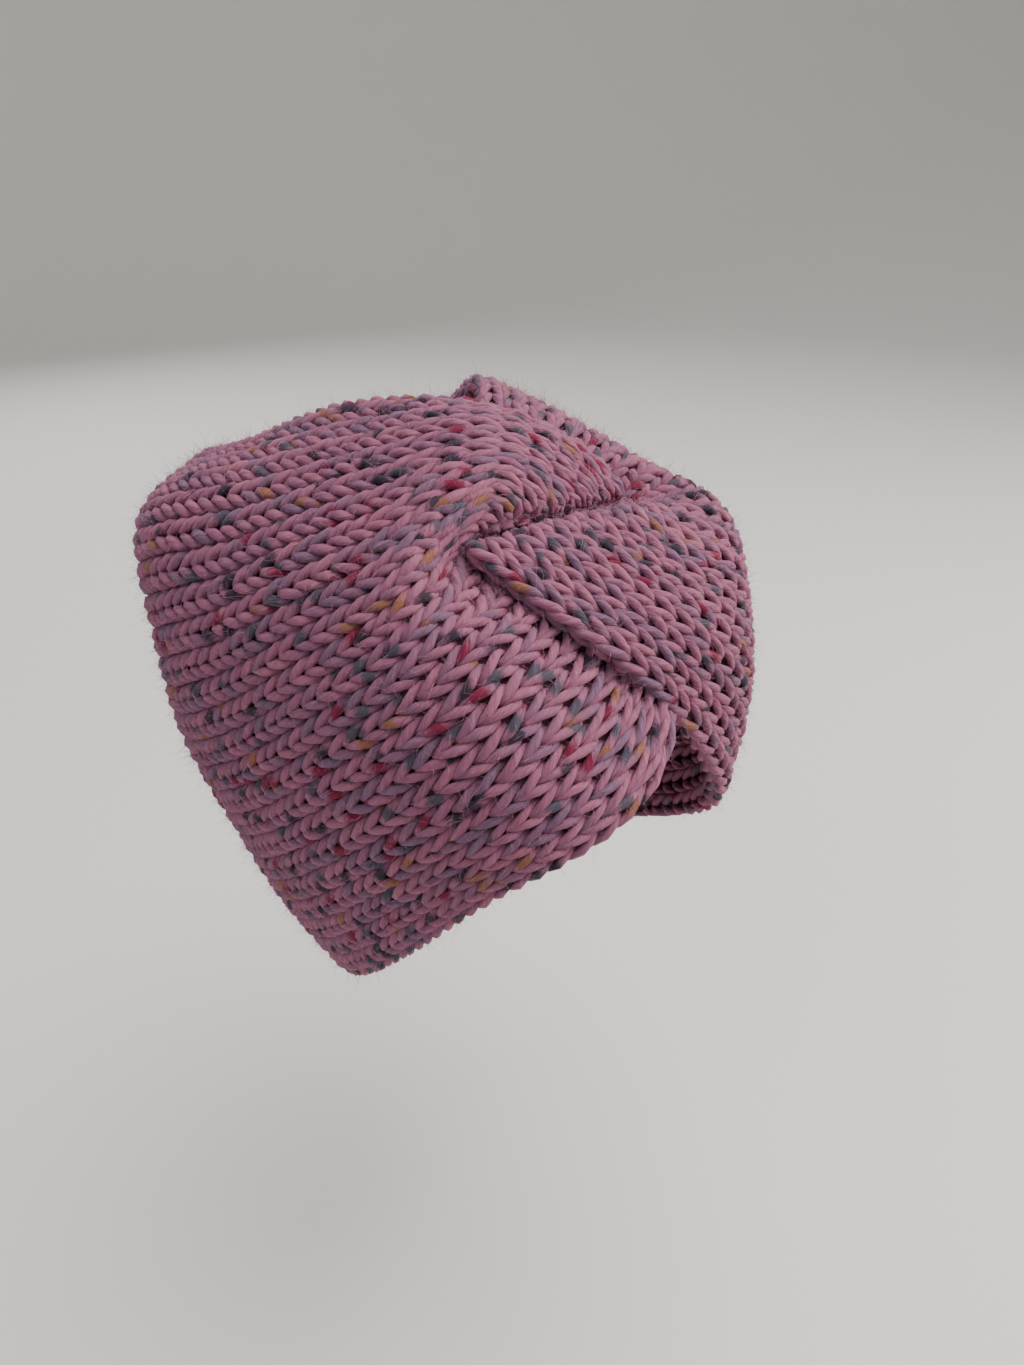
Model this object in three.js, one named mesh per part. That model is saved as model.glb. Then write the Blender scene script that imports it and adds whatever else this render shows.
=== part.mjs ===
// Ear warmer: a wide knitted band worn round the head. Its two ends are folded in half,
// hooked through each other and sewn together, which makes the twist above the forehead.
// Millimetres, +Z up, the forehead faces -Y and the wearer's right ear is at -X.
import * as THREE from 'three';

const wall = 9.2; // thickness of the knitted wall
const sections = 100; // cross-sections along the whole band
const acrossFace = 25; // points across one face of the band
const edgeSteps = 4; // steps round each folded edge
const seamRadius = 2;
const seamSides = 12;
const seamSteps = 12;
const seamFrom = -13; // the seam's ends, along the twist
const seamTo = 18;
const seamDepth = -7;

// The twist lies on the slope between forehead and crown. A place on it is given as
// along (towards the left ear), up (towards the crown) and out (away from the head).
const twistMiddle = [0, 39, 95];
const upSlope = [0, -0.725, 0.689];
const outSlope = [0, 0.689, 0.725];
const t = (along, up, out) => [
  -along,
  twistMiddle[1] + upSlope[1] * up + outSlope[1] * out,
  twistMiddle[2] + upSlope[2] * up + outSlope[2] * out,
];
// The sewn line drops a little towards the left ear.
const seamUp = (along) => -1.5 - 0.13 * along;
const endGap = 2.8; // each end stops this far from the sewn line
const above = (along, out) => t(along, seamUp(along) + endGap, out);
const below = (along, out) => t(along, seamUp(along) - endGap, out);

// Each row is one course of the knitting, with points right of, in front of and above the
// middle of the head. Columns, from lower edge to upper rim:
// hem, low, underEar, middle, overEar, shoulder, rim.
const backToSide = [
  [[0, -60, -121], [0, -78, -89], [0, -97, -55], [0, -114, -17],
    [0, -121, 22], [0, -123, 64], [0, -100, 87]],
  [[26, -52, -118], [33, -73, -86], [39, -91, -52], [44, -105, -13],
    [47, -111, 27], [47, -111, 67], [37, -96, 88]],
  [[45, -35, -107], [57, -53, -76], [66, -67, -41], [75, -79, -3],
    [76, -82, 36], [75, -86, 75], [51, -83, 94]],
  [[58, -11, -88], [70, -25, -57], [79, -36, -22], [86, -44, 14],
    [89, -48, 53], [79, -56, 90], [45, -61, 100]],
  [[64, 14, -63], [76, 5, -32], [83, -4, 1], [86, -10, 35],
    [82, -16, 68], [65, -26, 96], [36, -43, 110]],
];
// The right end: its upper half lies outside and its lower half dives under the left end.
const rightFront = [
  [[66, 39, -34], [76, 33, -5], [82, 24, 25], [81, 15, 56],
    [74, 6, 84], [53, -8, 105], [27, -25, 117]],
  [[63, 62, -5], [69, 57, 18], [72, 48, 47], [68, 37, 73],
    [57, 23, 94], [39, 8, 111], [18, -9, 120]],
  [[49, 85, 22], [54, 76, 41], [55, 62, 64], t(-57, -4, -8),
    t(-35, 19, 1), t(-18, 32, 4), t(-6, 38, 0)],
  [t(-2, -75, -13), t(-16, -49, -11), t(-28, -24, -10), t(-47, 1, -7),
    t(-18, 18, 5), t(0, 20, 6), t(16, 18, 4)],
  [below(25, -13), below(2, -13), below(-22, -14), t(-32, 2.5, -7),
    above(-22, 0), above(2, -1), above(26, -1)],
];
// The left end: its lower half lies outside and its upper half dives under the right end.
const leftFront = [
  [[62, 44, -46], [73, 40, -12], [79, 30, 23], [82, 19, 55],
    [71, 5, 81], [50, -10, 102], [27, -26, 116]],
  [[47, 85, -14], [60, 79, 18], [69, 64, 45], [75, 46, 72],
    [58, 23, 91], [36, 4, 107], [19, -11, 119]],
  [t(4, -62, 4), t(27, -55, 6), t(47, -43, 5), t(63, -16, 1),
    t(44, 12, -9), t(27, 31, -9), t(7, 42, -10)],
  [t(-13, -27, 4), t(9, -29, 6), t(31, -27, 5), t(54, -11, -4),
    t(34, 9, -11), t(13, 17, -11), t(-6, 22, -11)],
  [below(-21, -1), below(3, -1), below(28, 0), t(38, -6.5, -7),
    above(28, -14), above(3, -13), above(-20, -13)],
];
const mirrored = (row) => row.map(([right, front, up]) => [-right, front, up]);
const toFrame = ([right, front, up]) => new THREE.Vector3(-right, -front, up);

// From the right end, round the back of the head, to the left end.
const courses = [
  ...[...rightFront].reverse(),
  ...[...backToSide].reverse(),
  ...backToSide.slice(1).map(mirrored),
  ...leftFront.slice(0, 2).map(mirrored),
  ...leftFront.slice(2),
].map((row) => row.map(toFrame));

// Weights of four neighbouring points. Across the band the line passes through the points,
// and along it the line is eased between them.
const passing = (s) => [
  (-s + 2 * s * s - s * s * s) / 2,
  (2 - 5 * s * s + 3 * s * s * s) / 2,
  (s + 4 * s * s - 3 * s * s * s) / 2,
  (-s * s + s * s * s) / 2,
];
const easing = (s) => [
  (1 - s) ** 3 / 6,
  (4 - 6 * s * s + 3 * s * s * s) / 6,
  (1 + 3 * s + 3 * s * s - 3 * s * s * s) / 6,
  (s * s * s) / 6,
];
function curve(points, place, weights) {
  const last = points.length - 1;
  const start = Math.min(Math.floor(place * last), last - 1);
  const s = place * last - start;
  const at = (i) => {
    if (i < 0) return points[0].clone().multiplyScalar(2).sub(points[1]);
    if (i > last) return points[last].clone().multiplyScalar(2).sub(points[last - 1]);
    return points[i];
  };
  const sum = new THREE.Vector3();
  weights(s).forEach((w, i) => sum.addScaledVector(at(start + i - 1), w));
  return sum;
}

const columnCount = courses[0].length;
const middleOfWall = (along, across) => {
  const row = [];
  for (let c = 0; c < columnCount; c += 1) row.push(curve(courses.map((r) => r[c]), along, easing));
  return curve(row, across, passing);
};

// Where an end folds in half the knitting is squeezed thinner.
const squeeze = 0.6;
const squeezeReach = 2.4; // in courses of the tables
const squeezeWidth = 0.11; // as a share of the band's width
const halfWall = (along, across) => {
  const fromEnd = Math.min(along, 1 - along) * (courses.length - 1);
  const near = Math.exp(-((fromEnd / squeezeReach) ** 2) - ((across - 0.5) / squeezeWidth) ** 2);
  return (wall / 2) * (1 - squeeze * near);
};

function frameAt(along, across) {
  const step = 1e-3;
  const slope = (a0, b0, a1, b1) => middleOfWall(a1, b1).sub(middleOfWall(a0, b0)).normalize();
  const lengthways = slope(Math.max(along - step, 0), across, Math.min(along + step, 1), across);
  const widthways = slope(along, Math.max(across - step, 0), along, Math.min(across + step, 1));
  const outwards = widthways.clone().cross(lengthways).normalize();
  return { middle: middleOfWall(along, across), outwards, widthways, half: halfWall(along, across) };
}

// One closed loop round the wall: outer face from hem to rim, over the rim, inner face back, round the hem.
function loopAt(along) {
  const loop = [];
  const frames = [];
  for (let i = 0; i < acrossFace; i += 1) frames.push(frameAt(along, i / (acrossFace - 1)));
  const offset = (f, out, wide) =>
    f.middle.clone().addScaledVector(f.outwards, out).addScaledVector(f.widthways, wide);
  const round = (f, side) => {
    for (let i = 1; i < edgeSteps; i += 1) {
      const turn = (Math.PI * i) / edgeSteps;
      loop.push(offset(f, side * f.half * Math.cos(turn), side * f.half * Math.sin(turn)));
    }
  };
  frames.forEach((f) => loop.push(offset(f, f.half, 0)));
  round(frames[acrossFace - 1], 1);
  [...frames].reverse().forEach((f) => loop.push(offset(f, -f.half, 0)));
  round(frames[0], -1);
  return loop;
}

function solid(loops, capPairs) {
  const size = loops[0].length;
  const positions = loops.flat().flatMap((p) => [p.x, p.y, p.z]);
  const faces = [];
  const quad = (a, b, c, d) => faces.push(a, b, c, a, c, d);
  for (let k = 0; k + 1 < loops.length; k += 1) {
    for (let i = 0; i < size; i += 1) {
      const j = (i + 1) % size;
      quad(k * size + i, k * size + j, (k + 1) * size + j, (k + 1) * size + i);
    }
  }
  const last = (loops.length - 1) * size;
  capPairs.forEach(([a, b, c, d]) => {
    quad(d, c, b, a);
    quad(last + a, last + b, last + c, last + d);
  });
  const geometry = new THREE.BufferGeometry();
  geometry.setAttribute('position', new THREE.Float32BufferAttribute(positions, 3));
  geometry.setIndex(faces);
  geometry.computeVertexNormals();
  return geometry;
}

function bandGeometry() {
  const loops = [];
  for (let k = 0; k <= sections; k += 1) loops.push(loopAt(k / sections));
  const size = loops[0].length;
  const caps = [];
  const lastEdge = edgeSteps - 1;
  // The end is closed across the wall, face to face, from the hem's round edge to the rim's.
  const outer = (i) => (size - Math.ceil(lastEdge / 2) + i) % size;
  const inner = (i) => (size - Math.ceil(lastEdge / 2) - i + size) % size;
  for (let i = 0; i < size / 2; i += 1) caps.push([outer(i), outer(i + 1), inner(i + 1), inner(i)]);
  return solid(loops, caps);
}

function seamGeometry() {
  const loops = [];
  for (let k = 0; k <= seamSteps; k += 1) {
    const along = seamFrom + ((seamTo - seamFrom) * k) / seamSteps;
    const loop = [];
    for (let i = 0; i < seamSides; i += 1) {
      const turn = (2 * Math.PI * i) / seamSides;
      loop.push(toFrame(t(
        along,
        seamUp(along) + seamRadius * Math.cos(turn),
        seamDepth + seamRadius * Math.sin(turn),
      )));
    }
    loops.push(loop);
  }
  const caps = [];
  for (let i = 0; i < seamSides / 2; i += 1) {
    caps.push([i, i + 1, (2 * seamSides - i - 1) % seamSides, (2 * seamSides - i) % seamSides]);
  }
  return solid(loops, caps);
}

const yarn = new THREE.MeshStandardMaterial({ color: 0xb57f93, roughness: 0.95 });
const seamYarn = new THREE.MeshStandardMaterial({ color: 0xa06f84, roughness: 0.95 });

const earWarmer = new THREE.Group();
earWarmer.name = 'ear_warmer';
const add = (name, geometry, material) => {
  const mesh = new THREE.Mesh(geometry, material);
  mesh.name = name;
  earWarmer.add(mesh);
};
add('knit_band', bandGeometry(), yarn);
add('twist_seam', seamGeometry(), seamYarn);

export default earWarmer;
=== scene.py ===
import math

import bmesh
import bpy
import numpy as np
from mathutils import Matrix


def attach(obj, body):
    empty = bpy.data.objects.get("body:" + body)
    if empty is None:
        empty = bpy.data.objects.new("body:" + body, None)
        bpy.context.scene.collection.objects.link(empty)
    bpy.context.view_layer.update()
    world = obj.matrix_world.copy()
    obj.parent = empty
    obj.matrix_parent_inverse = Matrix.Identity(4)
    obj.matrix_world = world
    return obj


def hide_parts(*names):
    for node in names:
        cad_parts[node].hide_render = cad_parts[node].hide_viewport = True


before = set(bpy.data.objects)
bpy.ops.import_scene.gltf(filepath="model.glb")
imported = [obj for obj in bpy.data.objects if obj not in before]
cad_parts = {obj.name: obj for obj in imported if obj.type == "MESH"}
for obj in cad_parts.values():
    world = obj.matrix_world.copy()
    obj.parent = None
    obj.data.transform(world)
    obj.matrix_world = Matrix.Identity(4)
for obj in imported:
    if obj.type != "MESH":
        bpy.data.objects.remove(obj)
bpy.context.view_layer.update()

scene = bpy.context.scene
chance = np.random.default_rng(41)


# The band's shape, as in the part's source: points right of, in front of and above the
# middle of its hollow, in millimetres, from the lower edge of the band to its upper rim.
twist = {
    "middle": (0, 39, 95),
    "upSlope": (0, -0.725, 0.689),
    "outSlope": (0, 0.689, 0.725),
    "seamStart": -1.5,  # height of the sewn line at the middle
    "seamFall": -0.13,
    "endGap": 2.8,  # each end stops this far from the sewn line
}


def onTwist(along, up, out):
    middle, upSlope, outSlope = twist["middle"], twist["upSlope"], twist["outSlope"]
    return [-along] + [middle[i] + upSlope[i] * up + outSlope[i] * out for i in (1, 2)]


def seamHeight(along):
    return twist["seamStart"] + twist["seamFall"] * along


def above(along, out):
    return onTwist(along, seamHeight(along) + twist["endGap"], out)


def below(along, out):
    return onTwist(along, seamHeight(along) - twist["endGap"], out)


backToSide = [
    [[0, -60, -121], [0, -78, -89], [0, -97, -55], [0, -114, -17],
     [0, -121, 22], [0, -123, 64], [0, -100, 87]],
    [[26, -52, -118], [33, -73, -86], [39, -91, -52], [44, -105, -13],
     [47, -111, 27], [47, -111, 67], [37, -96, 88]],
    [[45, -35, -107], [57, -53, -76], [66, -67, -41], [75, -79, -3],
     [76, -82, 36], [75, -86, 75], [51, -83, 94]],
    [[58, -11, -88], [70, -25, -57], [79, -36, -22], [86, -44, 14],
     [89, -48, 53], [79, -56, 90], [45, -61, 100]],
    [[64, 14, -63], [76, 5, -32], [83, -4, 1], [86, -10, 35],
     [82, -16, 68], [65, -26, 96], [36, -43, 110]],
]
# the right end: its upper half lies outside, its lower half dives under the left end
rightFront = [
    [[66, 39, -34], [76, 33, -5], [82, 24, 25], [81, 15, 56],
     [74, 6, 84], [53, -8, 105], [27, -25, 117]],
    [[63, 62, -5], [69, 57, 18], [72, 48, 47], [68, 37, 73],
     [57, 23, 94], [39, 8, 111], [18, -9, 120]],
    [[49, 85, 22], [54, 76, 41], [55, 62, 64], onTwist(-57, -4, -8),
     onTwist(-35, 19, 1), onTwist(-18, 32, 4), onTwist(-6, 38, 0)],
    [onTwist(-2, -75, -13), onTwist(-16, -49, -11), onTwist(-28, -24, -10), onTwist(-47, 1, -7),
     onTwist(-18, 18, 5), onTwist(0, 20, 6), onTwist(16, 18, 4)],
    [below(25, -13), below(2, -13), below(-22, -14), onTwist(-32, 2.5, -7),
     above(-22, 0), above(2, -1), above(26, -1)],
]
# the left end: its lower half lies outside, its upper half dives under the right end
leftFront = [
    [[62, 44, -46], [73, 40, -12], [79, 30, 23], [82, 19, 55],
     [71, 5, 81], [50, -10, 102], [27, -26, 116]],
    [[47, 85, -14], [60, 79, 18], [69, 64, 45], [75, 46, 72],
     [58, 23, 91], [36, 4, 107], [19, -11, 119]],
    [onTwist(4, -62, 4), onTwist(27, -55, 6), onTwist(47, -43, 5), onTwist(63, -16, 1),
     onTwist(44, 12, -9), onTwist(27, 31, -9), onTwist(7, 42, -10)],
    [onTwist(-13, -27, 4), onTwist(9, -29, 6), onTwist(31, -27, 5), onTwist(54, -11, -4),
     onTwist(34, 9, -11), onTwist(13, 17, -11), onTwist(-6, 22, -11)],
    [below(-21, -1), below(3, -1), below(28, 0), onTwist(38, -6.5, -7),
     above(28, -14), above(3, -13), above(-20, -13)],
]


def mirrored(row):
    return [[-right, front, up] for right, front, up in row]


rows = (rightFront[::-1] + backToSide[::-1] + [mirrored(r) for r in backToSide[1:]]
        + [mirrored(r) for r in leftFront[:2]] + leftFront[2:])
bandPoints = np.array(rows, float) * (-1, -1, 1)  # millimetres, in the frame's axes


def padEnds(points):
    # one more point past each end, in line with the last two
    return np.concatenate([[2 * points[0] - points[1]], points, [2 * points[-1] - points[-2]]])


bandGrid = padEnds(bandPoints)
bandGrid = np.swapaxes(padEnds(np.swapaxes(bandGrid, 0, 1)), 0, 1)


def easing(s):
    return np.stack([(1 - s) ** 3, 4 - 6 * s ** 2 + 3 * s ** 3,
                     1 + 3 * s + 3 * s ** 2 - 3 * s ** 3, s ** 3], -1) / 6


def passing(s):
    return np.stack([-s + 2 * s ** 2 - s ** 3, 2 - 5 * s ** 2 + 3 * s ** 3,
                     s + 4 * s ** 2 - 3 * s ** 3, -s ** 2 + s ** 3], -1) / 2


def middleOfWall(along, across):
    # the middle of the wall, along the band from 0 to 1 and across it from hem to rim
    rowLast, columnLast = len(bandPoints) - 1, len(bandPoints[0]) - 1
    inside = np.clip(along, 0, 1)
    row = np.minimum((inside * rowLast).astype(int), rowLast - 1)
    column = np.minimum((np.clip(across, 0, 1) * columnLast).astype(int), columnLast - 1)
    rowWeight = easing(inside * rowLast - row)
    columnWeight = passing(np.clip(across, 0, 1) * columnLast - column)
    four = np.arange(4)
    near = bandGrid[row[:, None, None] + four[:, None], column[:, None, None] + four]
    return np.einsum("pi,pj,pijk->pk", rowWeight, columnWeight, near)


def unit(vectors):
    return vectors / np.linalg.norm(vectors, axis=-1, keepdims=True)


# How far the columns of stitches slip across the band beside the twist, as shares of its width:
# towards the hem at the right end, and out past the hem at the left end.
# Each pair says where a slip starts and where it is full, along or across the band.
slip = {
    "low": 0.20, "lowAlong": (0.105, -0.02), "lowAcross": (0, 0.25), "lowBelow": (0.62, 0.30),
    "hem": 0.05, "hemAlong": (0.17, 0.05), "hemAcross": (0.4, 0),
    "high": 0.06, "highAlong": (0.21, 0.045), "highAcross": (0.3, 0.58), "highBelow": (1, 0.8),
    "seam": 0.13, "seamAlong": (0.085, -0.015),
    "left": 0.085, "leftAlong": (0.84, 0.97), "leftWidth": 0.5,
}
# Beside the left end's lower edge the two layers lie close, and the far rim lies lower:
# millimetres out and in, with the same kind of pairs.
tuck = {
    "right": 4.0, "rightAlong": (0.14, 0.06), "rightAcross": (0.5, 0.36),
    "left": 3.0, "leftAlong": (0.82, 0.90), "leftAcross": (0.16, 0),
    "rim": 5.0, "rimAlong": (0.60, 0.69), "rimUntil": (0.79, 0.72), "rimAcross": (0.75, 1),
}


def rise(value, start, end):
    share = np.clip((value - start) / (end - start), 0, 1)
    return share * share * (3 - 2 * share)


def slipped(along, across):
    low = slip["low"] * rise(along, *slip["lowAlong"])
    low = low * rise(across, *slip["lowAcross"]) * rise(across, *slip["lowBelow"])
    low = low + slip["hem"] * rise(along, *slip["hemAlong"]) * rise(across, *slip["hemAcross"])
    high = slip["high"] * rise(along, *slip["highAlong"])
    high = high - slip["seam"] * rise(along, *slip["seamAlong"])
    high = high * rise(across, *slip["highAcross"]) * rise(across, *slip["highBelow"])
    left = slip["left"] * rise(along, *slip["leftAlong"])
    left = left * np.clip(1 - across / slip["leftWidth"], 0, 1)
    return across - low - high - left


def stitchBed(along, across):
    # the middle of the wall where a stitch lies; past an edge or an end it carries straight on
    inside, across = np.clip(along, 0, 1), slipped(along, across)
    between = np.clip(across, 0, 1)
    step = 0.02
    inner = np.clip(between, step, 1 - step)
    side = np.where(between < 0.5, step, -step)
    edgeSlope = (middleOfWall(inside, inner + side) - middleOfWall(inside, inner)) / side[:, None]
    return middleOfWall(inside, between) + edgeSlope * (across - between)[:, None]


def tucked(along, across):
    up = tuck["right"] * rise(along, *tuck["rightAlong"]) * rise(across, *tuck["rightAcross"])
    rim = tuck["rim"] * rise(along, *tuck["rimAlong"]) * rise(along, *tuck["rimUntil"])
    rim = rim * rise(across, *tuck["rimAcross"])
    return up - rim - tuck["left"] * rise(along, *tuck["leftAlong"]) * rise(across, *tuck["leftAcross"])


def wallFrame(along, across):
    # place and outward direction, and the changes widthways and lengthways
    step = 1e-3
    inside, between = np.clip(along, 0, 1), np.clip(across, 0, 1)
    lengthStart, lengthEnd = np.maximum(inside - step, 0), np.minimum(inside + step, 1)
    widthStart, widthEnd = np.maximum(between - step, 0), np.minimum(between + step, 1)
    lengthways = stitchBed(lengthEnd, between) - stitchBed(lengthStart, between)
    lengthways /= (lengthEnd - lengthStart)[:, None]
    widthways = stitchBed(inside, widthEnd) - stitchBed(inside, widthStart)
    widthways /= (widthEnd - widthStart)[:, None]
    outward = unit(np.cross(widthways, lengthways))
    place = stitchBed(inside, between) + lengthways * (along - inside)[:, None]
    place = place + outward * tucked(along, across)[:, None]
    return place, outward, widthways, lengthways


wall = {
    "half": 4.6,
    "squeeze": 0.6,  # where an end folds in half the knitting is thinner
    "squeezeReach": 2.4,
    "squeezeWidth": 0.11,
}


def halfWall(along, across):
    fromEnd = np.clip(np.minimum(along, 1 - along), 0, 1) * (len(bandPoints) - 1)
    near = np.exp(-(fromEnd / wall["squeezeReach"]) ** 2
                  - ((across - 0.5) / wall["squeezeWidth"]) ** 2)
    return wall["half"] * (1 - wall["squeeze"] * near)


knit = {
    "courses": 86,  # rows of stitches along the band
    "faceWales": 22,  # columns of stitches across one face
    "edgeWales": 1,  # columns round each folded edge
    "pointsPerStitch": 16,
    "yarnRadius": 1.56,  # millimetres
    "usualWale": 9.6,  # the wale width that this radius suits
    "loopHeight": 1.0,  # half the height of a loop, in courses
    "loopLean": 0.28,  # how far the legs lean, in wales
    "loopClose": 0.04,  # how far the two legs of a stitch draw together, in wales
    "loopDepth": 1.6,
    "loopTip": 0.3,  # the feet of a loop lie this much further out than its top
    "seat": 1.6,  # the yarn's middle, out from the middle of the wall
    "pastEnd": 0.003,  # share of the band that a course past an end takes
    "pastHidden": 0.0007,  # the same under the twist
    "sink": 6.0,  # what runs past an end sinks this far
    "bunch": 6.5,  # the ends round over into the sewn line within this distance
    "thinnest": 0.4,  # limits of a wale's width, as shares of the usual one
    "widest": 1.3,
    "thickPower": 0.4,  # how much a wide wale thickens its yarn
    "endThin": 0.7,  # how much the yarn thins where it sinks past an end
    "neck": 0.68,  # the yarn's radius where it passes through a loop
    "swell": 0.40,  # how much a leg swells
    "footThin": 0.05,
    # how far stitches stray in wales, in courses, in lift and in radius
    "stray": (0.022, 0.03, 0.14, 0.045),
    "runPerCourse": 1400.0,  # millimetres of yarn set aside for each course
    "pieces": 5,
    "mapRows": 3,  # strips of the flat map for each course
    "mapGap": 0.05,
}
knit["wales"] = 2 * (knit["faceWales"] + knit["edgeWales"])

# Courses lie square to the columns of stitches and evenly apart, as far as the twist lets them:
# a least-squares fit of the course number over a grid on the band.
lay = {
    "along": 61,
    "across": 19,
    "pitch": 7.0,  # millimetres from course to course
    "longer": 0.3,  # stitches are drawn out by this share above the sewn line
    "longerAlong": (0.16, 0.05),
    "longerAcross": (0.5, 0.62),
    "endCare": 1.5,  # near the sewn ends an even pitch counts this much more
    "endReach": 0.09,
    "hiddenCare": 0.1,  # what lies under the twist counts less
    "hiddenUntil": 0.11,  # the right end's hidden half, along and across the band
    "lowerHalf": 0.45,
    "hiddenFrom": 0.90,  # the left end's
    "upperHalf": 0.55,
    "hiddenEase": 0.03,
    "halfEase": 0.1,
    "tied": 200,  # how firmly the hidden half of an end keeps to its first or last course
    "smooth": 12,  # keeps neighbouring courses alike
    "loose": 2,  # the half that shows runs into the sewn line at a slant
    "samples": 4,  # steps laid for each course
}


def layCourses():
    rowCount, columnCount = lay["along"], lay["across"]
    spotAlong, spotAcross = np.meshgrid(
        np.linspace(0, 1, rowCount), np.linspace(0, 1, columnCount), indexing="ij")
    _, _, widthways, lengthways = wallFrame(spotAlong.ravel(), spotAcross.ravel())
    stretch = np.linalg.norm(lengthways, axis=1)
    skew = (widthways * lengthways).sum(1) / stretch
    square = np.sqrt((widthways ** 2).sum(1) - skew ** 2)

    def cells(values):
        grid = values.reshape(rowCount, columnCount)
        return ((grid[1:, 1:] + grid[:-1, 1:] + grid[1:, :-1] + grid[:-1, :-1]) / 4).ravel()

    stretch, skew, square = cells(stretch), cells(skew), cells(square)
    midAlong, midAcross = cells(spotAlong.ravel()), cells(spotAcross.ravel())
    underRight = np.clip((lay["hiddenUntil"] - midAlong) / lay["hiddenEase"], 0, 1)
    underRight = underRight * np.clip((lay["lowerHalf"] - midAcross) / lay["halfEase"], 0, 1)
    underLeft = np.clip((midAlong - lay["hiddenFrom"]) / lay["hiddenEase"], 0, 1)
    underLeft = underLeft * np.clip((midAcross - lay["upperHalf"]) / lay["halfEase"], 0, 1)
    hidden = np.maximum(underRight, underLeft)
    care = np.sqrt(stretch * square * (1 - (1 - lay["hiddenCare"]) * hidden))
    fromEnd = np.minimum(midAlong, 1 - midAlong)
    evenCare = care * (1 + lay["endCare"] * np.exp(-(fromEnd / lay["endReach"]) ** 2))
    number = np.arange(rowCount * columnCount).reshape(rowCount, columnCount)
    corners = [number[1:, 1:], number[:-1, 1:], number[1:, :-1], number[:-1, :-1]]
    corners = [corner.ravel() for corner in corners]
    lengthStep, widthStep = (rowCount - 1) / 2, (columnCount - 1) / 2
    ways, sides = (1, -1, 1, -1), (1, 1, -1, -1)
    even = [evenCare * way * lengthStep / stretch for way in ways]
    upright = [care * (side * widthStep - skew / stretch * way * lengthStep) / square
               for way, side in zip(ways, sides)]
    alike = [np.full(len(care), lay["smooth"] * way * side) for way, side in zip(ways, sides)]
    sums, wanted = np.zeros((number.size, number.size)), np.zeros(number.size)
    longer = lay["longer"] * rise(midAlong, *lay["longerAlong"])
    longer = 1 + longer * rise(midAcross, *lay["longerAcross"])
    for terms, target in ((even, evenCare / lay["pitch"] / longer), (upright, 0), (alike, 0)):
        for corner, term in zip(corners, terms):
            np.add.at(wanted, corner, term * target)
            for other, factor in zip(corners, terms):
                np.add.at(sums, (corner, other), term * factor)
    column = np.linspace(0, 1, columnCount)
    startHidden, endHidden = column < lay["lowerHalf"], column > lay["upperHalf"]
    startHold = np.where(startHidden, lay["tied"], lay["loose"]) ** 2
    endHold = np.where(endHidden, lay["tied"], lay["loose"]) ** 2
    sums[number[0], number[0]] += startHold
    sums[number[-1], number[-1]] += endHold
    wanted[number[-1]] += endHold * knit["courses"]
    course = np.linalg.solve(sums, wanted).reshape(rowCount, columnCount)
    first, last = math.floor(course[0].min()), math.ceil(course[-1].max())
    wantedCourse = np.linspace(first, last, lay["samples"] * (last - first) + 1)
    table = []
    for c in range(columnCount):
        startShare = knit["pastHidden" if startHidden[c] else "pastEnd"]
        endShare = knit["pastHidden" if endHidden[c] else "pastEnd"]
        past = startShare * np.minimum(wantedCourse - course[0, c], 0)
        past = past + endShare * np.maximum(wantedCourse - course[-1, c], 0)
        table.append(np.interp(wantedCourse, course[:, c], spotAlong[:, c]) + past)
    return np.array(table), last - first


layTable, courseCount = layCourses()
print("courses laid", courseCount)


def alongOf(course, across):
    # where a course lies along the band in each column
    row = np.clip(course / courseCount, 0, 1) * (layTable.shape[1] - 1)
    column = np.clip(across, 0, 1) * (layTable.shape[0] - 1)
    i = np.minimum(row.astype(int), layTable.shape[1] - 2)
    j = np.minimum(column.astype(int), layTable.shape[0] - 2)
    di, dj = row - i, column - j
    near = layTable[j, i] * (1 - di) + layTable[j, i + 1] * di
    far = layTable[j + 1, i] * (1 - di) + layTable[j + 1, i + 1] * di
    return near * (1 - dj) + far * dj


def onKnit(course, wale, lift):
    # a point of the knitting: course along the band, wale round the closed wall, lift outwards
    face, edge = knit["faceWales"], knit["edgeWales"]
    wale = np.mod(wale, knit["wales"])
    outer = wale < face
    rim = (wale >= face) & (wale < face + edge)
    inner = (wale >= face + edge) & (wale < 2 * face + edge)
    across = np.select([outer, rim, inner], [wale / face, 1.0, 1 - (wale - face - edge) / face], 0.0)
    turn = np.select([outer, rim, inner], [0.0, (wale - face) / edge * math.pi, math.pi],
                     math.pi + (wale - 2 * face - edge) / edge * math.pi)
    along = alongOf(course, across)
    place, outward, widthways, lengthways = wallFrame(along, across)
    facing = outward * np.cos(turn)[:, None] + unit(widthways) * np.sin(turn)[:, None]
    thin = halfWall(along, across) / wall["half"]
    # the outer face of each end rounds over into the sewn line
    reach = np.minimum(along, 1 - along) * np.linalg.norm(lengthways, axis=1) + twist["endGap"]
    short = np.clip(knit["bunch"] - reach, 0, knit["bunch"])
    past = np.clip(twist["endGap"] - reach, 0, knit["sink"])
    drop = knit["bunch"] - np.sqrt(knit["bunch"] ** 2 - short ** 2) + past
    lift = lift * thin - drop * np.clip(np.cos(turn), 0, 1)
    walePitch = np.linalg.norm(widthways, axis=1) / face
    width = np.clip(walePitch / knit["usualWale"], knit["thinnest"], knit["widest"])
    thick = width ** knit["thickPower"] * (1 - knit["endThin"] * past / knit["sink"])
    return place + facing * lift[:, None], facing, thick


def eased(table, position):
    # a value for each stitch, eased from one stitch to the next round the course
    start = np.floor(position).astype(int)
    share = position - start
    share = share * share * (3 - 2 * share)
    count = len(table)
    return table[start % count] * (1 - share) + table[(start + 1) % count] * share


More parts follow.
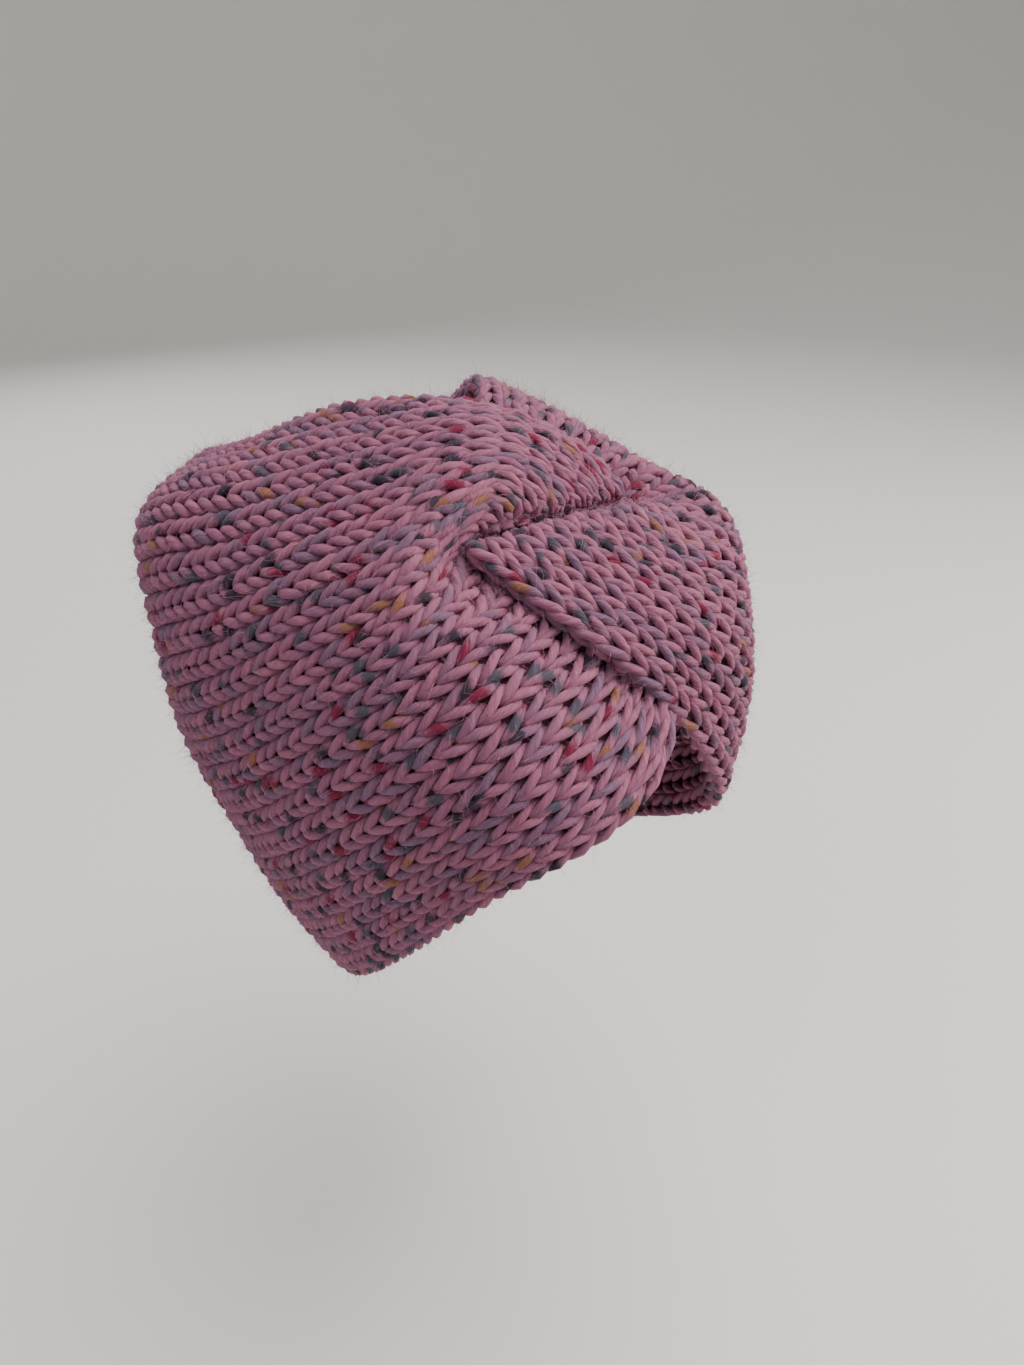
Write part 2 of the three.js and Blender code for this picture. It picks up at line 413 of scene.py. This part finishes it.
def yarnCourse(number):
    count = knit["pointsPerStitch"] * knit["wales"]
    position = np.arange(count) / knit["pointsPerStitch"]
    turn = 2 * math.pi * position
    wander = [eased(chance.normal(0, spread, knit["wales"]), position)
              for spread in knit["stray"]]
    lean = knit["loopLean"] * np.sin(2 * turn) + knit["loopClose"] * np.sin(turn)
    course = number + 0.5 + knit["loopHeight"] * np.cos(turn) + wander[1]
    lift = knit["loopTip"] * np.cos(turn) - knit["loopDepth"] * np.cos(2 * turn)
    place, facing, thick = onKnit(course, position + lean + wander[0], knit["seat"] + lift + wander[2])
    profile = knit["neck"] + knit["swell"] * np.sin(turn) ** 2 - knit["footThin"] * np.cos(turn)
    radius = knit["yarnRadius"] * thick * profile * (1 + wander[3])
    return place, radius, facing


def makeCurve(name, strands, sides, closed):
    curve = bpy.data.curves.new(name, "CURVE")
    curve.dimensions = "3D"
    curve.bevel_depth = 1
    curve.bevel_resolution = (sides - 4) // 2
    for places, radii, *_ in strands:
        spline = curve.splines.new("POLY")
        spline.points.add(len(places) - 1)
        spline.points.foreach_set("co", np.c_[places * 0.001, np.ones(len(places))].ravel())
        spline.points.foreach_set("radius", radii * 0.001)
        spline.use_cyclic_u = closed
    return curve


def meshOf(curve, name):
    # the curve's tubes as a plain mesh
    guide = bpy.data.objects.new(name + "Guide", curve)
    scene.collection.objects.link(guide)
    shaped = guide.evaluated_get(bpy.context.evaluated_depsgraph_get())
    mesh = bpy.data.meshes.new_from_object(shaped)
    mesh.name = name
    bpy.data.objects.remove(guide)
    bpy.data.curves.remove(curve)
    mesh.shade_smooth()
    piece = bpy.data.objects.new(name, mesh)
    scene.collection.objects.link(piece)
    return piece


def markRun(mesh, starts, strands, sides):
    # the length run along each strand, and the place round it, for the yarn's material
    rows = []
    for start, (places, *_) in zip(starts, strands):
        steps = np.linalg.norm(np.diff(places, axis=0), axis=1)
        run = start + np.concatenate([[0], np.cumsum(steps)])
        angle = np.arange(sides) / sides * 2 * math.pi
        row = np.stack(np.broadcast_arrays(run[:, None], np.cos(angle), np.sin(angle)), -1)
        rows.append(row.reshape(-1, 3))
    values = np.concatenate(rows)
    mark = mesh.attributes.new("yarnRun", "FLOAT_VECTOR", "POINT")
    print(mesh.name, "vertices", len(mesh.vertices), "marks", len(values))
    mark.data.foreach_set("vector", values.ravel())


def layMap(mesh, strands, sides, rowsEach, columns, gap):
    # a flat map of the strands' skins, cell by cell, for baked textures
    counts = np.array([len(places) for places, *_ in strands])
    first = np.concatenate([[0], np.cumsum(counts) * sides])
    corner = np.empty(len(mesh.loops), np.int32)
    mesh.loops.foreach_get("vertex_index", corner)
    corner = corner.reshape(-1, 4)
    strand = np.searchsorted(first, corner[:, 0], side="right") - 1
    point, side = np.divmod(corner - first[strand][:, None], sides)
    closing = (np.ptp(point, axis=1) > 1)[:, None] & (point == 0)
    point = np.where(closing, counts[strand][:, None], point)
    side = np.where((np.ptp(side, axis=1) > 1)[:, None] & (side == 0), sides, side)
    rowLength = np.ceil(counts / rowsEach)[strand].astype(int)
    row = np.minimum(point.min(axis=1) // rowLength, rowsEach - 1)
    cell = strand * rowsEach + row
    lengthways = (point - (row * rowLength)[:, None]) / rowLength[:, None]
    levels = math.ceil(len(strands) * rowsEach / columns)
    u = ((cell % columns)[:, None] + gap + lengthways * (1 - 2 * gap)) / columns
    v = ((cell // columns)[:, None] + gap + side / sides * (1 - 2 * gap)) / levels
    while mesh.uv_layers:
        mesh.uv_layers.remove(mesh.uv_layers[0])
    flatMap = mesh.uv_layers.new(name="OFBake")
    flatMap.uv.foreach_set("vector", np.stack([u, v], -1).astype(np.float32).ravel())


def closeEnds(mesh, sides):
    # a face over each open end of the strands
    bm = bmesh.new()
    bm.from_mesh(mesh)
    bmesh.ops.holes_fill(bm, edges=[e for e in bm.edges if e.is_boundary], sides=sides)
    bm.to_mesh(mesh)
    bm.free()


yarnSides = 6
strands = [yarnCourse(n) for n in range(courseCount)]
yarnPieces = []
share = math.ceil(courseCount / knit["pieces"])
for n in range(knit["pieces"]):
    chosen = strands[n * share:(n + 1) * share]
    name = f"knitYarn{n + 1}"
    piece = meshOf(makeCurve(name, chosen, yarnSides, True), name)
    starts = [knit["runPerCourse"] * (n * share + i) for i in range(len(chosen))]
    markRun(piece.data, starts, chosen, yarnSides)
    layMap(piece.data, chosen, yarnSides, knit["mapRows"], 1, knit["mapGap"])
    yarnPieces.append(piece)
print("yarn triangles", sum(2 * len(p.data.polygons) for p in yarnPieces))


# the yarn that sews the two ends together, wound along the sewn line
sewing = {
    "from": -13,  # millimetres along the twist
    "to": 18,
    "depth": -7,
    "turns": 8,
    "spread": 1.0,
    "radius": 1.15,
    "points": 97,
}


def makeSewing():
    share = np.linspace(0, 1, sewing["points"])
    along = sewing["from"] + (sewing["to"] - sewing["from"]) * share
    turn = 2 * math.pi * sewing["turns"] * share
    up = seamHeight(along) + sewing["spread"] * np.cos(turn)
    out = sewing["depth"] + sewing["spread"] * np.sin(turn)
    places = np.array([onTwist(*spot) for spot in zip(along, up, out)]) * (-1, -1, 1)
    strand = (places, np.full(len(places), sewing["radius"]))
    piece = meshOf(makeCurve("sewingYarn", [strand], yarnSides, False), "sewingYarn")
    markRun(piece.data, [0.0], [strand], yarnSides)
    closeEnds(piece.data, yarnSides)
    return piece


sewingPiece = makeSewing()
print("sewing yarn wound")

# loose hairs that stand off the yarn
fuzz = {
    "hairs": 8000,  # in each piece
    "pieces": 5,
    "length": (1.2, 5.2),
    "radius": 0.055,
    "points": 3,
    "bend": 0.4,
    "spread": 0.55,  # how far hairs root round the yarn from its outer side
    "stray": 0.6,  # how far they turn from there
    "rootDepth": 0.9,  # share of the yarn's radius
    "taper": 0.7,
    "sides": 4,
    "mapColumns": 90,  # cells of the flat map in a row
    "mapGap": 0.12,
}


def makeHairs(name):
    # the hairs root on the outer face and the folded edges
    shown = (knit["faceWales"] + knit["edgeWales"]) * knit["pointsPerStitch"]
    hem = knit["edgeWales"] * knit["pointsPerStitch"]
    hairs = []
    share = np.linspace(0, 1, fuzz["points"])[:, None]
    for _ in range(fuzz["hairs"]):
        places, radii, facings = strands[chance.integers(len(strands))]
        root = chance.integers(-hem, shown)
        outwards = unit(facings[root] + fuzz["spread"] * chance.normal(0, 1, 3))
        heading = unit(outwards + fuzz["stray"] * chance.normal(0, 1, 3))
        curl = chance.normal(0, fuzz["bend"], 3)
        length = chance.uniform(*fuzz["length"])
        line = places[root] + outwards * radii[root] * fuzz["rootDepth"]
        line = line + heading * share * length + curl * share ** 2 * length
        hairs.append((line, fuzz["radius"] * (1 - fuzz["taper"] * share[:, 0])))
    piece = meshOf(makeCurve(name, hairs, fuzz["sides"], False), name)
    closeEnds(piece.data, fuzz["sides"])
    layMap(piece.data, hairs, fuzz["sides"], 1, fuzz["mapColumns"], fuzz["mapGap"])
    return piece


hairPieces = [makeHairs(f"looseHairs{n + 1}") for n in range(fuzz["pieces"])]
print("loose hairs", sum(2 * len(p.data.polygons) for p in hairPieces), "triangles")


# the ground of the knitting, a dark sheet in the middle of the wall: painted shade that shows between
# the stitches
ground = {"alongSteps": 160, "acrossSteps": 44, "thickness": 0.0030, "edgeInset": 0.006}


def makeShadeSheet():
    bm = bmesh.new()
    bmesh.ops.create_grid(
        bm, x_segments=ground["alongSteps"], y_segments=ground["acrossSteps"], size=0.5)
    flat = np.array([v.co[:2] for v in bm.verts]) + 0.5
    inset = ground["edgeInset"]
    along = inset / 2 + flat[:, 0] * (1 - inset)
    places = wallFrame(along, flat[:, 1])[0] * 0.001
    for vert, place in zip(bm.verts, places):
        vert.co = place
    mesh = bpy.data.meshes.new("knitShadeSheet")
    bm.to_mesh(mesh)
    bm.free()
    piece = bpy.data.objects.new("knitShadeSheet", mesh)
    scene.collection.objects.link(piece)
    thick = piece.modifiers.new("thickness", "SOLIDIFY")
    thick.thickness = ground["thickness"]
    thick.offset = 0
    mesh.shade_smooth()
    return piece


shadeSheetPiece = makeShadeSheet()
print("ground made")


class Wire:
    # a socket that takes part in sums
    def __init__(self, finish, socket):
        self.finish, self.socket = finish, socket

    def sum(self, operation, left, right):
        return self.finish.node("ShaderNodeMath", {"operation": operation}, {0: left, 1: right})

    def __add__(self, other):
        return self.sum("ADD", self, other)

    def __radd__(self, other):
        return self.sum("ADD", other, self)

    def __sub__(self, other):
        return self.sum("SUBTRACT", self, other)

    def __rsub__(self, other):
        return self.sum("SUBTRACT", other, self)

    def __mul__(self, other):
        return self.sum("MULTIPLY", self, other)

    def __rmul__(self, other):
        return self.sum("MULTIPLY", other, self)

    def __lt__(self, other):
        return self.sum("LESS_THAN", self, other)


class Finish:
    def __init__(self, name):
        self.material = bpy.data.materials.new(name)
        self.material.use_nodes = True
        self.tree = self.material.node_tree
        self.tree.nodes.clear()

    def node(self, kind, settings=None, sockets=None, out=0):
        made = self.tree.nodes.new(kind)
        for key, value in (settings or {}).items():
            if key == "stops":
                ramp = made.color_ramp
                while len(ramp.elements) < len(value):
                    ramp.elements.new(1)
                for element, (position, colour) in zip(ramp.elements, value):
                    element.position, element.color = position, colour
            elif key == "interpolation":
                made.color_ramp.interpolation = value
            else:
                setattr(made, key, value)
        for key, value in (sockets or {}).items():
            if isinstance(value, Wire):
                self.tree.links.new(value.socket, made.inputs[key])
            else:
                made.inputs[key].default_value = value
        return Wire(self, made.outputs[out]) if made.outputs else made

    def mix(self, factor, first, second, blend="MIX"):
        settings = {"data_type": "RGBA", "blend_type": blend, "clamp_factor": True}
        return self.node("ShaderNodeMix", settings, {0: factor, 6: first, 7: second}, out=2)

    def surface(self, **sockets):
        shader = self.node("ShaderNodeBsdfPrincipled", sockets=sockets)
        self.node("ShaderNodeOutputMaterial", sockets={"Surface": shader})
        return self.material


def rgb(red, green, blue):
    return (red, green, blue, 1.0)


yarn = {
    "pink": rgb(0.345, 0.120, 0.200),
    "rose": rgb(0.40, 0.142, 0.218),
    "mauve": rgb(0.215, 0.110, 0.182),
    "navy": rgb(0.009, 0.017, 0.030),
    "slate": rgb(0.057, 0.065, 0.090),
    "crimson": rgb(0.20, 0.005, 0.036),
    "ochre": rgb(0.29, 0.118, 0.062),
    "dyeLength": 8.0,  # millimetres of yarn that one splash of dye covers
    "navyShare": 0.060,  # shares of the yarn's length, each added to the one before
    "slateShare": 0.125,
    "crimsonShare": 0.163,
    "dyedShare": 0.190,
    "dyeEdge": 0.55,  # how ragged the ends of a splash are
    "twistTurn": 0.42,  # radians that the fibres turn in a millimetre
    "plies": 3.0,
}


def yarnFinish(name):
    f = Finish(name)
    mark = f.node("ShaderNodeAttribute", {"attribute_name": "yarnRun"}, out=1)
    run, cosine, sine = (f.node("ShaderNodeSeparateXYZ", sockets={0: mark}, out=i) for i in range(3))
    place = f.node("ShaderNodeTexCoord", out=3)
    # angle round the yarn, turned along it so that fibres spiral
    angle = run.sum("ARCTAN2", sine, cosine) + run * yarn["twistTurn"]
    spiral = f.node("ShaderNodeCombineXYZ", sockets={
        0: run * 0.11, 1: angle.sum("COSINE", angle, 0.0) * 0.9, 2: angle.sum("SINE", angle, 0.0) * 0.9})
    fibre = f.node("ShaderNodeTexNoise", sockets={
        "Vector": spiral, "Scale": 2.6, "Detail": 5.0, "Roughness": 0.65})
    ply = angle.sum("SINE", angle * yarn["plies"], 0.0) * 0.5 + 0.5
    # slow changes along the yarn, from mauve through pink to rose
    slow = f.node("ShaderNodeTexNoise", {"noise_dimensions": "1D"}, {
        "W": run * 0.021, "Scale": 1.0, "Detail": 2.0, "Roughness": 0.6})
    wool = f.node("ShaderNodeValToRGB", {"stops": [
        (0.34, yarn["mauve"]), (0.52, yarn["pink"]), (0.74, yarn["rose"])]}, {0: slow})
    # splashes of dye, each in its own length of yarn
    blur = f.node("ShaderNodeTexNoise", sockets={
        "Vector": place, "Scale": 420.0, "Detail": 2.0})
    cell = run * (1 / yarn["dyeLength"]) + (blur - 0.5) * yarn["dyeEdge"]
    number = cell.sum("FLOOR", cell, 0.0)
    within = cell - number
    pick = f.node("ShaderNodeTexWhiteNoise", {"noise_dimensions": "1D"}, {"W": number}, out=0)
    splash = f.node("ShaderNodeValToRGB", {"interpolation": "CONSTANT", "stops": [
        (0.0, yarn["navy"]), (yarn["navyShare"], yarn["slate"]),
        (yarn["slateShare"], yarn["crimson"]), (yarn["crimsonShare"], yarn["ochre"])]}, {0: pick})
    fromMiddle = within.sum("ABSOLUTE", within * 2 - 1, 0.0)
    soft = f.node("ShaderNodeMapRange", {"interpolation_type": "SMOOTHSTEP"}, {
        0: fromMiddle + (fibre - 0.5) * 0.9, 1: 1.0, 2: 0.25, 3: 0.0, 4: 0.9})
    dyed = f.mix((pick < yarn["dyedShare"]) * soft, wool, splash)
    tone = f.node("ShaderNodeMapRange", sockets={0: fibre, 1: 0.25, 2: 0.75, 3: 0.62, 4: 1.18})
    shaded = f.mix(1.0, dyed, f.node("ShaderNodeCombineXYZ", sockets={0: tone, 1: tone, 2: tone}),
                   "MULTIPLY")
    bump = f.node("ShaderNodeBump", sockets={
        "Strength": 0.8, "Distance": 0.0012, "Height": fibre * 0.7 + ply * 0.3})
    return f.surface(**{
        "Base Color": shaded, "Roughness": 0.74 + fibre * 0.22, "Normal": bump,
        "Sheen Weight": 0.09, "Sheen Roughness": 0.4, "Sheen Tint": rgb(1.0, 0.72, 0.84),
        "Specular IOR Level": 0.22})


# painted shade: the dark colour of the sheet that shows between the stitches
def shadeSheetFinish(name):
    f = Finish(name)
    place = f.node("ShaderNodeTexCoord", out=3)
    grain = f.node("ShaderNodeTexNoise", sockets={"Vector": place, "Scale": 260.0, "Detail": 3.0})
    colour = f.node("ShaderNodeValToRGB", {"stops": [
        (0.3, rgb(0.07, 0.020, 0.038)), (0.7, rgb(0.14, 0.042, 0.075))]}, {0: grain})
    return f.surface(**{"Base Color": colour, "Roughness": 0.9, "Specular IOR Level": 0.2})


pinkYarn = yarnFinish("speckled pink yarn")
paintedShadeSheet = shadeSheetFinish("yarn in shade")


def hairFinish(name):
    f = Finish(name)
    place = f.node("ShaderNodeTexCoord", out=3)
    patch = f.node("ShaderNodeTexNoise", sockets={"Vector": place, "Scale": 90.0, "Detail": 1.0})
    colour = f.node("ShaderNodeValToRGB", {"stops": [
        (0.35, rgb(0.36, 0.15, 0.24)), (0.65, rgb(0.52, 0.26, 0.36))]}, {0: patch})
    return f.surface(**{"Base Color": colour, "Roughness": 0.7, "Specular IOR Level": 0.2})


softHair = hairFinish("loose hair")
for piece in hairPieces:
    piece.data.materials.clear()
    piece.data.materials.append(softHair)
for piece in yarnPieces + [sewingPiece]:
    piece.data.materials.clear()
    piece.data.materials.append(pinkYarn)
# the sheet between the stitches gets the painted shade
shadeSheetPiece.data.materials.append(paintedShadeSheet)
print("finishes made")

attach(sewingPiece, "root")
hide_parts("twist_seam")
for piece in yarnPieces + hairPieces + [shadeSheetPiece]:
    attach(piece, "root")
    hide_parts("knit_band")

# camera, light and floor
studio = {
    "eye": (-0.2121, -0.2305, 0.200),
    "turn": (60, 0, -45),
    "lens": 26.37,
    "floor": -0.30,
    "floorRadius": 2.4,
    "floorBend": 1.2,
    "floorHeight": 2.6,
    "floorColour": rgb(0.72, 0.70, 0.67),
    "floorShade": rgb(0.66, 0.64, 0.61),
    "worldColour": rgb(0.76, 0.79, 0.81),
    "worldStrength": 0.24,
}
camera = bpy.data.objects.new("camera", bpy.data.cameras.new("camera"))
camera.location = studio["eye"]
camera.rotation_euler = [math.radians(a) for a in studio["turn"]]
camera.data.lens = studio["lens"]
camera.data.sensor_width = 36
camera.data.clip_start = 0.01
scene.collection.objects.link(camera)
scene.camera = camera

lamps = {
    "topLight": {
        "place": (0.35, -0.35, 1.9), "target": (0, 0, 0), "size": 1.8, "power": 50,
        "colour": (1.0, 0.97, 0.94)},
    "frontLight": {
        "place": (1.25, -1.15, 0.6), "target": (0, 0, 0.03), "size": 0.9, "power": 31,
        "colour": (1.0, 0.96, 0.93)},
    "leftFill": {
        "place": (-1.5, 0.1, 1.1), "target": (0, 0, 0), "size": 1.2, "power": 8,
        "colour": (0.72, 0.88, 1.0)},
    "backFill": {
        "place": (0.5, 1.7, 0.8), "target": (0, 0, 0), "size": 1.4, "power": 14,
        "colour": (0.97, 0.97, 1.0)},
}


def areaLamp(name, place, target, size, power, colour):
    lamp = bpy.data.lights.new(name, "AREA")
    lamp.shape, lamp.size, lamp.energy, lamp.color = "DISK", size, power, colour
    holder = bpy.data.objects.new(name, lamp)
    holder.location = place
    direction = np.array(target) - np.array(place)
    holder.rotation_euler = (
        math.atan2(math.hypot(direction[0], direction[1]), -direction[2]), 0,
        math.atan2(direction[1], direction[0]) - math.pi / 2)
    scene.collection.objects.link(holder)


for name, values in lamps.items():
    areaLamp(name, **values)

world = bpy.data.worlds.new("studioWorld")
scene.world = world
world.use_nodes = True
background = world.node_tree.nodes["Background"]
background.inputs[0].default_value = studio["worldColour"]
background.inputs[1].default_value = studio["worldStrength"]


def makeFloor():
    # a round floor that curves up far away
    bm = bmesh.new()
    radius, bend, height = studio["floorRadius"], studio["floorBend"], studio["floorHeight"]
    low = studio["floor"]
    line = [bm.verts.new((radius * i / 4, 0, low)) for i in range(5)]
    for i in range(1, 9):
        turn = i / 8 * math.pi / 2
        across, up = radius + bend * math.sin(turn), low + bend * (1 - math.cos(turn))
        line.append(bm.verts.new((across, 0, up)))
    line.append(bm.verts.new((radius + bend, 0, low + height)))
    edges = [bm.edges.new(pair) for pair in zip(line, line[1:])]
    bmesh.ops.spin(bm, geom=line + edges, cent=(0, 0, 0), axis=(0, 0, 1), angle=2 * math.pi,
                   steps=64, use_merge=True)
    bmesh.ops.remove_doubles(bm, verts=bm.verts, dist=1e-5)
    bmesh.ops.recalc_face_normals(bm, faces=bm.faces)
    mesh = bpy.data.meshes.new("floor")
    bm.to_mesh(mesh)
    bm.free()
    mesh.shade_smooth()
    piece = bpy.data.objects.new("floor", mesh)
    scene.collection.objects.link(piece)
    f = Finish("pale floor")
    place = f.node("ShaderNodeTexCoord", out=3)
    cloud = f.node("ShaderNodeTexNoise", sockets={"Vector": place, "Scale": 1.5, "Detail": 2.0})
    tone = f.mix(cloud * 0.2, studio["floorColour"], studio["floorShade"])
    mesh.materials.append(f.surface(**{"Base Color": tone, "Roughness": 0.85}))


makeFloor()
print("studio set")
